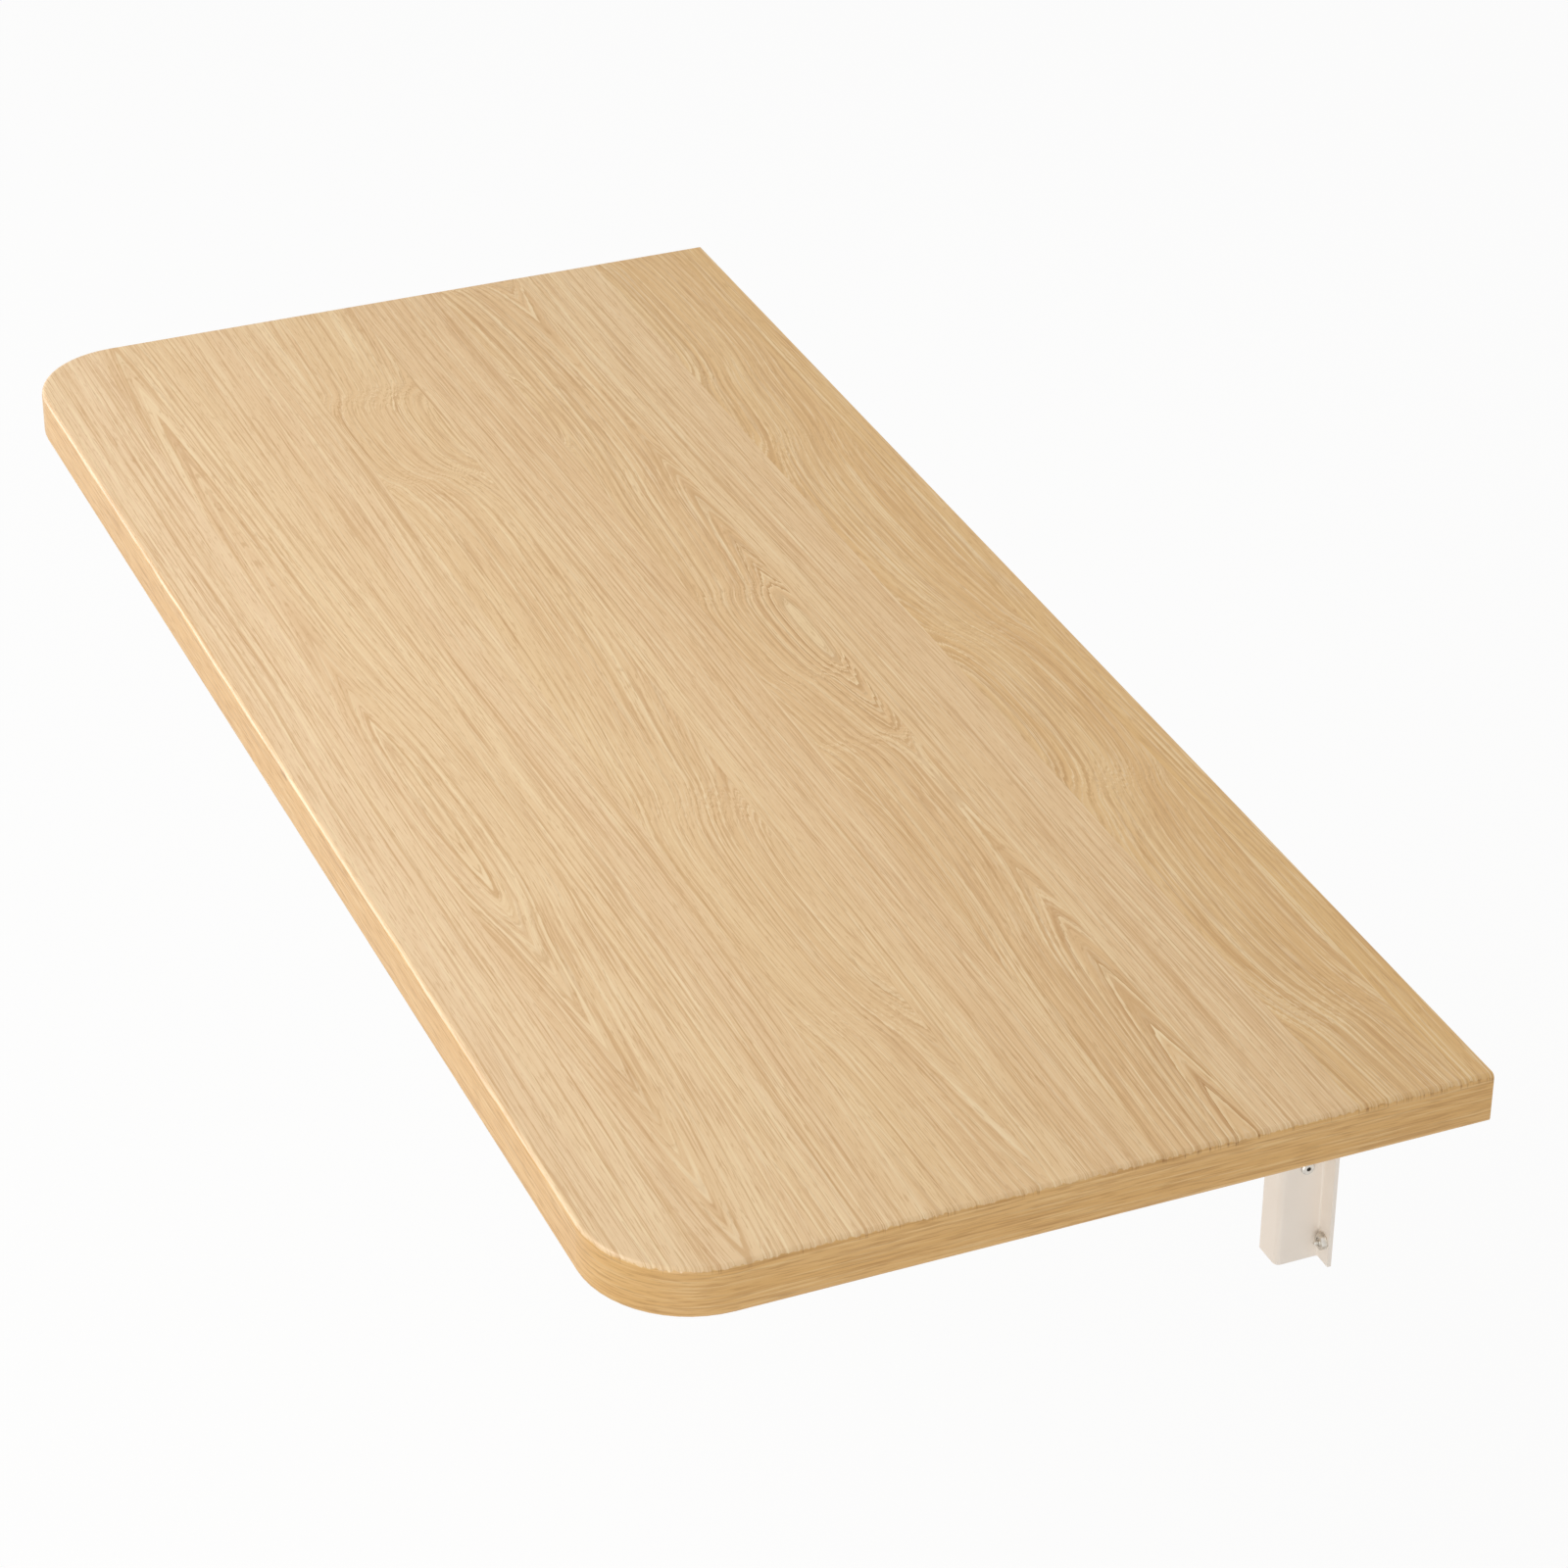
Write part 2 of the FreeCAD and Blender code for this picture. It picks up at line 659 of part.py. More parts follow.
def make_rivet(label, x, place, half_grip, kind, head_height):
    """A tubular rivet across the bracket: a shank with a flat, chamfered head at each end."""
    body = make_body(label, x, *place)
    shank = f"sizes.{kind}_pin_radius"
    head = f"sizes.{kind}_head_radius"
    bore = f"sizes.{kind}_bore_radius"
    outer = f"{half_grip} + {head_height}"
    profile = sketch_on(body, "XY_Plane")
    add_outline(
        profile,
        (
            (f"-({outer})", bore),
            (f"-({outer})", f"{head} - sizes.head_chamfer"),
            (f"-({outer} - sizes.head_chamfer)", head),
            (f"-({half_grip})", head),
            (f"-({half_grip})", shank),
            (half_grip, shank),
            (half_grip, head),
            (f"{outer} - sizes.head_chamfer", head),
            (outer, f"{head} - sizes.head_chamfer"),
            (outer, bore),
        ),
    )
    revolve(body, profile, "H_Axis")


def make_sleeves(label, x, place, spans, bore, outer):
    """Plain tubes on one pin, each between two stations along it."""
    body = make_body(label, x, *place)
    profile = sketch_on(body, "XY_Plane")
    for start, end in spans:
        add_outline(profile, ((start, bore), (start, outer), (end, outer), (end, bore)))
    revolve(body, profile, "H_Axis")


def make_knee_pin(side, x, place):
    """The knee's tubular rivet in three: a headed end in each upper plate, and a core in the lower bar."""
    ends = make_body(f"{side}_knee_pin_ends", x, *place)
    grip = "fits.plate_outer + sizes.end_play"
    outer = f"{grip} + sizes.knee_head_height"
    bore = "sizes.pivot_bore_radius"
    shank = "sizes.pivot_pin_radius"
    head = "sizes.pivot_head_radius"
    profile = sketch_on(ends, "XY_Plane")
    for sign in ("", "-"):
        add_outline(
            profile,
            (
                (f"{sign}fits.plate_inner", bore),
                (f"{sign}fits.plate_inner", shank),
                (f"{sign}({grip})", shank),
                (f"{sign}({grip})", head),
                (f"{sign}({outer} - sizes.head_chamfer)", head),
                (f"{sign}({outer})", f"{head} - sizes.head_chamfer"),
                (f"{sign}({outer})", bore),
            ),
        )
    revolve(ends, profile, "H_Axis")
    make_sleeves(f"{side}_knee_pin_core", x, place, [("-fits.lower_half", "fits.lower_half")], bore, shank)


def make_brace(side, x):
    hinge = ("fits.hinge_y", "fits.hinge_z")
    foot = ("fits.foot_y", "fits.foot_z")
    arm_end = ("fits.pivot_y", "fits.pivot_z")
    knee = ("fits.knee_y", "fits.knee_z")
    stop = on_brace("-sizes.stop_setback", "fits.stop_up")
    play = "sizes.end_play"
    make_upper_link(side, x)
    make_lower_link(side, x)
    head = "sizes.pivot_head_height"
    make_rivet(f"{side}_hinge_pin", x, hinge, f"fits.arm_half + {play}", "hinge", "sizes.hinge_head_height")
    make_rivet(f"{side}_foot_pin", x, foot, f"fits.leg_half + {play}", "pivot", head)
    make_rivet(f"{side}_arm_pin", x, arm_end, f"fits.arm_half + {play}", "pivot", head)
    make_knee_pin(side, x, knee)
    make_rivet(f"{side}_stop_rivet", x, stop, f"fits.plate_outer + {play}", "stop", "sizes.stop_head_height")
    pin_bore = "sizes.pivot_pin_radius + sizes.running_clearance"
    stop_bore = "sizes.stop_pin_radius + sizes.running_clearance"
    foot_spans = both_sides(f"fits.lower_half + {play}", f"fits.leg_inner - {play}")
    middle = (f"-fits.plate_inner + {play}", f"fits.plate_inner - {play}")
    arm_spans = both_sides(f"fits.plate_outer + {play}", f"fits.arm_inner - {play}") + [middle]
    make_sleeves(f"{side}_foot_spacers", x, foot, foot_spans, pin_bore, "sizes.spacer_radius")
    make_sleeves(f"{side}_arm_spacers", x, arm_end, arm_spans, pin_bore, "sizes.spacer_radius")
    make_sleeves(f"{side}_stop_sleeve", x, stop, [middle], stop_bore, "sizes.stop_sleeve_radius")


def both_sides(near, far):
    """A span along a pin, and its mirror image."""
    return [(near, far), (f"-({far})", f"-({near})")]


# Fasteners


def make_arm_screws(side, x):
    """Pan head wood screws up through the arm's flanges into the leaf."""
    row_length = f"{SCREWS_ALONG_ARM - 1} * sizes.screw_pitch"
    last_y = f"fits.arm_screw_y - {row_length}"
    body = make_body(f"{side}_arm_screws", f"{x} - fits.arm_screw_x", last_y, "fits.flange_face_z")
    profile = sketch_on(body, "XZ_Plane")
    add_outline(
        profile,
        (
            ("0", "-sizes.screw_head_height"),
            ("sizes.screw_head_radius - sizes.screw_head_chamfer", "-sizes.screw_head_height"),
            ("sizes.screw_head_radius", "sizes.screw_head_chamfer - sizes.screw_head_height"),
            ("sizes.screw_head_radius", "0"),
            ("sizes.screw_radius", "0"),
            ("sizes.screw_radius", "sizes.screw_length - sizes.screw_point"),
            ("0", "sizes.screw_length"),
        ),
    )
    shank = revolve(body, profile, "V_Axis")
    cross = sketch_on(body, "XY_Plane", "-sizes.screw_head_height")
    half = "sizes.screw_recess_width / 2"
    reach = "sizes.screw_recess_length / 2"
    add_outline(
        cross,
        (
            (half, half),
            (half, reach),
            (f"-{half}", reach),
            (f"-{half}", half),
            (f"-{reach}", half),
            (f"-{reach}", f"-{half}"),
            (f"-{half}", f"-{half}"),
            (f"-{half}", f"-{reach}"),
            (half, f"-{reach}"),
            (half, f"-{half}"),
            (reach, f"-{half}"),
            (reach, half),
        ),
    )
    doc.recompute()
    whole = body.Shape.Volume
    recess = cut_upwards(body, cross, "sizes.screw_recess_depth")
    doc.recompute()
    if not body.Shape.Volume < whole:
        raise ValueError(f"{body.Label}: the cross recess cuts nothing")
    spacing = "2 * fits.arm_screw_x"
    repeat(body, [shank, recess], "X_Axis", spacing, 2, "Y_Axis", row_length, SCREWS_ALONG_ARM)


def repeat_on_wall_holes(body, feature):
    spacing = "2 * fits.wall_hole_x"
    repeat(body, [feature], "X_Axis", spacing, 2, "Z_Axis", "sizes.hole_row_spacing", WALL_HOLE_ROWS)


def make_wall_fasteners(side, x):
    """A washer and a nut on each wall hole, open for the wall's own stud."""
    corner_x = f"{x} - fits.wall_hole_x"
    corner_z = "-sizes.hole_row_spacing / 2"
    washers = make_body(f"{side}_wall_washers", corner_x, "-sizes.sheet_thickness", corner_z)
    ring = sketch_on(washers, "XZ_Plane")
    add_circle(ring, "0", "0", "sizes.washer_radius")
    add_circle(ring, "0", "0", "sizes.wall_hole_radius")
    repeat_on_wall_holes(washers, pad(washers, ring, "sizes.washer_thickness"))
    nut_y = "-sizes.sheet_thickness - sizes.washer_thickness"
    nuts = make_body(f"{side}_wall_nuts", corner_x, nut_y, corner_z)
    hexagon = sketch_on(nuts, "XZ_Plane")
    point = "sizes.nut_width / sqrt(3)"
    flat = "sizes.nut_width / 2"
    add_outline(
        hexagon,
        (
            (point, "0"),
            (f"{point} / 2", flat),
            (f"-{point} / 2", flat),
            (f"-{point}", "0"),
            (f"-{point} / 2", f"-{flat}"),
            (f"{point} / 2", f"-{flat}"),
        ),
    )
    add_circle(hexagon, "0", "0", "sizes.nut_bore_radius")
    repeat_on_wall_holes(nuts, pad(nuts, hexagon, "sizes.nut_height"))


def check_and_write():
    """Stops on any failed object or broken solid, then writes one file for each sub-part."""
    doc.recompute()
    failed = [item.Label for item in doc.Objects if {"Invalid", "Error"} & set(item.State)]
    if failed:
        raise ValueError(f"failed objects: {failed}")
    for item in subparts:
        if item.Shape.isNull() or not item.Shape.isValid() or not item.Shape.Solids:
            raise ValueError(f"{item.Label}: not a valid solid")
    os.makedirs("parts", exist_ok=True)
    for item in subparts:
        item.Shape.exportStep(f"parts/{item.Label}.step")
    print(f"{len(subparts)} sub-parts written")


make_leaf()
for side, x in (("left", "-fits.bracket_x"), ("right", "fits.bracket_x")):
    make_wall_leg(side, x)
    make_arm(side, x)
    make_brace(side, x)
    make_arm_screws(side, x)
    make_wall_fasteners(side, x)
check_and_write()
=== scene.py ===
import json
import math

import bmesh
import bpy
from mathutils import Matrix, Quaternion, Vector


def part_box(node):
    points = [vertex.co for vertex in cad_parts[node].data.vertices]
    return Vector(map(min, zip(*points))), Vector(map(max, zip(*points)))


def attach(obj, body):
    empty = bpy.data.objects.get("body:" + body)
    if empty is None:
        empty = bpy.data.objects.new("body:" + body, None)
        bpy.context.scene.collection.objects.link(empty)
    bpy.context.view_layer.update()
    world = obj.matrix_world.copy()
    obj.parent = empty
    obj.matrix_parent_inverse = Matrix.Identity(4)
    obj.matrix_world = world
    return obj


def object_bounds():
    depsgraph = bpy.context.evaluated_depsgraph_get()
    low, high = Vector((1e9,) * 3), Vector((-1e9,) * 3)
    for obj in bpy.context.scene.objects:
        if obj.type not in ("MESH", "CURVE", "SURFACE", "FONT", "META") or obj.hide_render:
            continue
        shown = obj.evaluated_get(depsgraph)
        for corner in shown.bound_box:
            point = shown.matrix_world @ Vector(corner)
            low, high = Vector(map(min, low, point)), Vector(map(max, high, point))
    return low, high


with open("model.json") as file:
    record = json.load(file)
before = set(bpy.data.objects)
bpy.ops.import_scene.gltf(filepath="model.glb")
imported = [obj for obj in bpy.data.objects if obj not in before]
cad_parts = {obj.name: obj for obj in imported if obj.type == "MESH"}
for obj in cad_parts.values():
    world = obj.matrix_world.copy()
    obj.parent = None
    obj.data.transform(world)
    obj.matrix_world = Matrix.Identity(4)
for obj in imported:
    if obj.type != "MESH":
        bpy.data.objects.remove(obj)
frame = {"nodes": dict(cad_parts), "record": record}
cad_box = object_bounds()


# The leaf's core is a 24 mm particle board: wood chips pressed with resin and sawn to the outline.
# Laminate and bands are glued over every side of it, so it shows only where a piece is taken off.
MILLIMETRES = 1000  # in one metre
CHIP_WIDTH = 2.5  # mm
CHIP_DEPTH = 0.0002  # m
CHIP_BUMP = 0.6
CHIP_DARK = "#B08A5C"
CHIP_PALE = "#DCBE92"
CHIP_ROUGHNESS = 0.85
RESIN_IOR = 1.5
SHARE, FIRST, SECOND, MIXED = 0, 6, 7, 2  # sockets of a colour Mix node: its three inputs and its result


def linear(code):
    """An sRGB hex colour as the linear colour that a shader takes."""
    shares = [int(code[at:at + 2], 16) / 255 for at in (1, 3, 5)]
    return [s / 12.92 if s <= 0.04045 else ((s + 0.055) / 1.055) ** 2.4 for s in shares] + [1.0]


def add(tree, kind, links=None, out=0, **settings):
    """Adds a node with its settings, links or sets each named input, and returns one of its outputs."""
    made = tree.nodes.new("ShaderNode" + kind)
    for name, value in settings.items():
        setattr(made, name, value)
    for name, value in (links or {}).items():
        if isinstance(value, bpy.types.NodeSocket):
            tree.links.new(value, made.inputs[name])
        else:
            made.inputs[name].default_value = value
    return made.outputs[out] if made.outputs else None


def new_material(name):
    """A material with an empty tree, and the place on the piece, in millimetres, that its patterns read."""
    material = bpy.data.materials.new(name)
    material.use_nodes = True
    tree = material.node_tree
    tree.nodes.clear()
    coordinates = add(tree, "TexCoord", out="Object")
    place = add(tree, "VectorMath", {0: coordinates, "Scale": MILLIMETRES}, operation="SCALE")
    return material, tree, place


def dress(material, *nodes):
    """Gives the material to those nodes of the frame."""
    for name in nodes:
        slots = frame["nodes"][name].data.materials
        slots.clear()
        slots.append(material)


# Raw particle board: pressed flakes of mixed tone with pits between them, dull all over.
chipboard, tree, place = new_material("raw_particle_board")
chips = add(tree, "TexVoronoi", {"Vector": place, "Scale": 1 / CHIP_WIDTH}, out="Color")
tones = {SHARE: chips, FIRST: linear(CHIP_DARK), SECOND: linear(CHIP_PALE)}
colour = add(tree, "Mix", tones, out=MIXED, data_type="RGBA")
pitted = add(tree, "Bump", {"Height": chips, "Strength": CHIP_BUMP, "Distance": CHIP_DEPTH})
shader = {"Base Color": colour, "Roughness": CHIP_ROUGHNESS, "IOR": RESIN_IOR, "Normal": pitted}
add(tree, "OutputMaterial", {"Surface": add(tree, "BsdfPrincipled", shader)})
dress(chipboard, "leaf_core")


# The top face is a half-millimetre melamine laminate: paper printed with a board of edge-glued oak staves,
# pressed under matt resin and glued to the core. The grain runs along the leaf. Every second stave is
# flat-sawn, so that the rings round its heart close into eyes where the heart comes near the face.
OAK_DEEP = "#DCAF6C"
OAK_PALE = "#F0D3AD"
OAK_RING = "#BC8B50"
OAK_RING_INSIDE = "#F6DFB2"
TOP_SHEET = 0

# Each stave: distance of its first edge from the wall (mm), share of the paler tone, strength of its rings.
# The pale shares fall towards the wall: partly the staves' own tones, partly painted shade that darkens the
# leaf along the wall.
TOP_STAVES = (
    (0, 0.05, 0),
    (15, 0.22, 0.55),
    (65, 0.55, 0),
    (111, 0.42, 1),
    (159, 0.55, 0),
    (209, 0.50, 0.3),
    (261, 0.65, 0),
    (311, 0.68, 0.25),
    (358, 0.75, 0),
)
STAVE_STRETCH = 9  # how far apart in the noise two staves lie

# Each heart: distance from the wall, then its depth under the face at places along the leaf (mm).
TOP_HEARTS = (
    (68, ((-450, 8), (-370, 3), (-275, 12), (-228, 16), (-110, 28), (0, 22),
          (100, 4), (190, 20), (290, 26), (400, 10), (450, 5))),
    (121, ((-450, 13), (-300, 27), (-155, 20), (-104, 16), (-70, 12), (-20, 3),
           (36, 12), (62, 16), (88, 20), (125, 27), (317, 16), (450, 7))),
    (207, ((-450, 30), (-350, 22), (-287, 2), (-230, 22), (-150, 30),
           (92, 20), (200, 3), (335, 20), (450, 28))),
    (346, ((-450, 22), (-275, 16), (-90, 12), (85, 3),
           (200, 12), (270, 16), (362, 20), (450, 25))),
)
HEART_DEEPEST = 30  # mm
HEART_CORE = (8.0, 4.0)  # mm from a heart, where its plain pale core fades in
HEART_CORE_STRENGTH = 0.35
HEART_SIDES = 40  # mm across, over which the streaks on one side of a heart stop being those on the other

RING_SPACING = 4.0  # mm
RING_UNEVEN = (14, 1.6)  # mm over which the spacing changes, and by how many rings
RING_POINT = 1.35  # 2 draws round rings, 1 draws rings with sharp points along the grain
RING_STROKES = (60, 1.2, 10)  # length and width of the strokes in a ring line, and their shift (mm)
RING_FAINTEST = 0.6  # strength of the faintest ring beside the darkest
RING_FADE = (13, 30, 0.45)  # mm from the heart, where a ring starts and ends to fade, and what is left
RING_DARK_SHARE = 0.5  # of one ring, from its dark line to plain wood
RING_DARK_STRENGTH = 1.0
RING_INSIDE_SHARE = 0.25  # of one ring, up to the next dark line
RING_INSIDE_STRENGTH = 0.7

# Each sway of the grain: its length and width along and across the leaf, and how far it bends a line (mm).
OAK_SWAYS = (
    (900, 200, 30),
    (300, 40, 6),
    (40, 6, 0.6),
)

# Each streak: length and width (mm), where its noise starts and ends, its colour and its strength. Real pores
# are a quarter of a millimetre wide. The finest threads are drawn three times as coarse, so that they show.
OAK_BANDS = (
    (800, 50, 0.40, 0.62, "#F0D2A0", 0.30),
    (500, 12, 0.44, 0.66, "#D6A96F", 0.20),
)
OAK_THREADS = (
    (260, 1.6, 0.53, 0.65, "#C4955A", 0.46),
    (220, 1.4, 0.55, 0.67, "#F8E0B4", 0.46),
    (60, 1.1, 0.50, 0.68, "#C0905A", 0.40),
    (45, 0.9, 0.52, 0.70, "#F7E0B8", 0.35),
    (10, 0.7, 0.55, 0.70, "#B98A52", 0.35),
)
PORE_DEPTH = 0.00004  # m
PORE_BUMP = 0.5
MELAMINE_ROUGHNESS = (0.48, 0.62)  # of plain print, and of the deepest pore
leaf_low, leaf_high = [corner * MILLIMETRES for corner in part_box("edge_band")]


def swayed(tree, value, on_stave, sway):
    """A coordinate moved to and fro by a noise with that length, width and reach (mm)."""
    length, width, reach = sway
    stretched = add(tree, "VectorMath", {0: on_stave, 1: (length, width, 1)}, operation="DIVIDE")
    shift = add(tree, "TexNoise", {"Vector": stretched, "Scale": 1, "Detail": 1})
    shift = add(tree, "MapRange", {"Value": shift, "To Min": -reach / 2, "To Max": reach / 2})
    return add(tree, "Math", {0: value, 1: shift}, operation="ADD")


def streaked(tree, grain, colour, streaks):
    """Lays streaks along the grain over a colour. Also returns how strong the last of them is."""
    for length, width, low, high, tone, strength in streaks:
        stretched = add(tree, "VectorMath", {0: grain, 1: (length, width, 1)}, operation="DIVIDE")
        streak = add(tree, "TexNoise", {"Vector": stretched, "Scale": 1, "Detail": 2})
        limits = {"Value": streak, "From Min": low, "From Max": high, "To Max": strength}
        amount = add(tree, "MapRange", limits, interpolation_type="SMOOTHSTEP")
        mixed = {SHARE: amount, FIRST: colour, SECOND: linear(tone)}
        colour = add(tree, "Mix", mixed, out=MIXED, data_type="RGBA")
    return colour, amount


def stave_values(tree, across, staves):
    """The number of the stave at a place across the leaf, as a share of all, its pale share and its rings."""
    from_wall = {"Value": across, "From Min": leaf_high.y, "From Max": leaf_low.y}
    stave = add(tree, "ValToRGB", {"Fac": add(tree, "MapRange", from_wall)}, out="Color")
    ramp = stave.node.color_ramp
    ramp.interpolation = "CONSTANT"
    ramp.elements.remove(ramp.elements[1])
    for index, (edge, pale, figure) in enumerate(staves):
        step = ramp.elements.new(edge / (leaf_high.y - leaf_low.y)) if index else ramp.elements[0]
        step.color = (index / len(staves), pale, figure, 1)
    return [add(tree, "SeparateColor", {0: stave}, out=part) for part in ("Red", "Green", "Blue")]


def from_nearest_heart(tree, along, across, hearts):
    """How far the nearest heart is from a place on the face (mm)."""
    from_end = add(tree, "MapRange", {"Value": along, "From Min": leaf_low.x, "From Max": leaf_high.x})
    nearest = leaf_high.x
    for heart_from_wall, profile in hearts:
        deep = add(tree, "FloatCurve", {"Value": from_end})
        curve = deep.node.mapping.curves[0]
        shares = [((at - leaf_low.x) / (leaf_high.x - leaf_low.x), depth / HEART_DEEPEST)
                  for at, depth in profile]
        curve.points[0].location = shares[0]
        curve.points[1].location = shares[-1]
        for share in shares[1:-1]:
            curve.points.new(*share)
        deep.node.mapping.update()
        under = add(tree, "Math", {0: deep, 1: HEART_DEEPEST}, operation="MULTIPLY")
        under = add(tree, "Math", {0: under, 1: RING_POINT}, operation="POWER")
        beside = add(tree, "Math", {0: across, 1: heart_from_wall}, operation="ADD")
        beside = add(tree, "Math", {0: beside}, operation="ABSOLUTE")
        beside = add(tree, "Math", {0: beside, 1: RING_POINT}, operation="POWER")
        away = add(tree, "Math", {0: beside, 1: under}, operation="ADD")
        away = add(tree, "Math", {0: away, 1: 1 / RING_POINT}, operation="POWER")
        nearest = add(tree, "Math", {0: nearest, 1: away}, operation="MINIMUM")
    return nearest


def ringed(tree, line, number, level, figured, colour):
    """Draws rings over a colour, each a dark line that fades outwards with a pale line inside it."""
    stretch, most = RING_UNEVEN
    uneven = add(tree, "CombineXYZ", {"X": line, "Y": level})
    uneven = add(tree, "TexNoise", {"Vector": uneven, "Scale": 1 / stretch, "Detail": 0})
    rings = add(tree, "Math", {0: line, 1: RING_SPACING}, operation="DIVIDE")
    rings = add(tree, "Math", {0: uneven, 1: most, 2: rings}, operation="MULTIPLY_ADD")
    ring = add(tree, "Math", {0: rings}, operation="FLOOR")
    ring = add(tree, "CombineXYZ", {"X": ring, "Y": number})
    strength = add(tree, "TexWhiteNoise", {"Vector": ring})
    strength = add(tree, "MapRange", {"Value": strength, "To Min": RING_FAINTEST})
    strength = add(tree, "Math", {0: strength, 1: figured}, operation="MULTIPLY")
    first, last, left = RING_FADE
    fade = {"Value": line, "From Min": first, "From Max": last, "To Min": 1, "To Max": left}
    strength = add(tree, "Math", {0: strength, 1: add(tree, "MapRange", fade)}, operation="MULTIPLY")
    within = add(tree, "Math", {0: rings}, operation="FRACT")
    dark = {"Value": within, "From Max": RING_DARK_SHARE, "To Min": RING_DARK_STRENGTH, "To Max": 0}
    inside = {"Value": within, "From Min": 1 - RING_INSIDE_SHARE, "To Max": RING_INSIDE_STRENGTH}
    for limits, tone in ((dark, OAK_RING), (inside, OAK_RING_INSIDE)):
        amount = add(tree, "Math", {0: add(tree, "MapRange", limits), 1: strength}, operation="MULTIPLY")
        mixed = {SHARE: amount, FIRST: colour, SECOND: linear(tone)}
        colour = add(tree, "Mix", mixed, out=MIXED, data_type="RGBA")
    rim, full = HEART_CORE
    core = add(tree, "MapRange", {"Value": line, "From Min": rim, "From Max": full})
    pale = add(tree, "Math", {0: figured, 1: HEART_CORE_STRENGTH}, operation="MULTIPLY")
    core = add(tree, "Math", {0: core, 1: pale}, operation="MULTIPLY")
    mixed = {SHARE: core, FIRST: colour, SECOND: linear(OAK_RING_INSIDE)}
    return add(tree, "Mix", mixed, out=MIXED, data_type="RGBA")


def oak_print(tree, place, sheet, staves, hearts):
    """The oak print's colour and how deep its pores are, at a place in millimetres.

    sheet picks another stretch of the same wood, which has its own staves and hearts."""
    along = add(tree, "SeparateXYZ", {0: place}, out="X")
    across = add(tree, "SeparateXYZ", {0: place}, out="Y")
    number, pale, figured = stave_values(tree, across, staves)
    level = add(tree, "Math", {0: number, 1: STAVE_STRETCH * len(staves), 2: sheet}, operation="MULTIPLY_ADD")
    streak_level = add(tree, "Math", {0: across, 1: 1 / HEART_SIDES, 2: level}, operation="MULTIPLY_ADD")
    on_stave = add(tree, "CombineXYZ", {"X": along, "Y": across, "Z": level})
    for sway in OAK_SWAYS:
        across = swayed(tree, across, on_stave, sway)
    stroked = swayed(tree, along, on_stave, RING_STROKES)
    from_heart = from_nearest_heart(tree, stroked, across, hearts)
    # A number Mix node has its two numbers in sockets 2 and 3.
    flat_sawn = add(tree, "Math", {0: figured, 1: 0}, operation="GREATER_THAN")
    line = add(tree, "Mix", {SHARE: flat_sawn, 2: across, 3: from_heart})
    grain = add(tree, "CombineXYZ", {"X": along, "Y": line, "Z": streak_level})
    tones = {SHARE: pale, FIRST: linear(OAK_DEEP), SECOND: linear(OAK_PALE)}
    colour = add(tree, "Mix", tones, out=MIXED, data_type="RGBA")
    colour, _ = streaked(tree, grain, colour, OAK_BANDS)
    colour = ringed(tree, line, number, level, figured, colour)
    return streaked(tree, grain, colour, OAK_THREADS)


def finish_print(tree, colour, pores, roughness):
    """Ends a print in its clear skin, which is duller and pitted in the pores."""
    plain, pored = roughness
    dull = add(tree, "MapRange", {"Value": pores, "To Min": plain, "To Max": pored})
    pitted = add(tree, "Bump", {"Height": pores, "Strength": PORE_BUMP, "Distance": PORE_DEPTH}, invert=True)
    shader = {"Base Color": colour, "Roughness": dull, "IOR": RESIN_IOR, "Normal": pitted}
    add(tree, "OutputMaterial", {"Surface": add(tree, "BsdfPrincipled", shader)})


# Matt melamine: the print shows through clear resin with a soft even sheen, a little duller in the pores.
top_oak, tree, place = new_material("matt_melamine_oak_print")
colour, pores = oak_print(tree, place, TOP_SHEET, TOP_STAVES, TOP_HEARTS)
finish_print(tree, colour, pores, MELAMINE_ROUGHNESS)
dress(top_oak, "top_laminate")


# The underside has the same laminate, so that the board stays flat, printed from another stretch of oak
# staves with calmer figures. The two arms are screwed on through it.
UNDER_SHEET = 137
UNDER_STAVES = (
    (0, 0.50, 0),
    (58, 0.40, 0.3),
    (107, 0.60, 0),
    (155, 0.45, 0),
    (204, 0.55, 0),
    (254, 0.50, 0.3),
    (302, 0.60, 0),
    (351, 0.50, 0),
)
UNDER_HEARTS = (
    (95, ((-450, 24), (-150, 7), (120, 28), (450, 12))),
    (280, ((-450, 12), (-260, 28), (140, 6), (450, 25))),
)
BACKING_ROUGHNESS = (0.50, 0.65)

# Matt melamine backing: the same clear resin over the print, a trace duller than on the top.
under_oak, tree, place = new_material("matt_melamine_oak_backing")
colour, pores = oak_print(tree, place, UNDER_SHEET, UNDER_STAVES, UNDER_HEARTS)
finish_print(tree, colour, pores, BACKING_ROUGHNESS)
dress(under_oak, "bottom_laminate")


# The edge bands are strips of printed plastic with the grain along them: one bent round the front and both
# ends with its arrises rounded over, one thin strip along the wall edge. Both are glued with hot melt.
# Its streaks are given as the top's are, and are as coarse.
EDGE_STREAKS = (
    (300, 8, 0.42, 0.64, "#E4BB80", 0.30),
    (60, 1.6, 0.48, 0.66, "#B07F44", 0.42),
    (45, 1.2, 0.50, 0.68, "#F0D19C", 0.38),
    (16, 0.9, 0.50, 0.66, "#A67539", 0.38),
)
EDGE_GROUND = "#DBAD6B"
EDGE_SHEET = 71
EDGE_ROUGHNESS = (0.36, 0.50)
FEATHER_DROP = 1.4  # mm below the top face, where the band's own print starts
FEATHER_TEETH = (40, 2.2, 3.0)  # length and width of a tooth of that line, and its reach (mm)
FEATHER_BLUR = 0.25  # mm
STROKE = "#8C5D2B"
STROKE_STRENGTH = 0.8
STROKE_REACH = 2.4  # mm of dark stroke under the ends of the top's brown threads
STROKE_BROWN = (0.50, 0.42)  # brightness of the top's print, where a stroke under it starts and is full

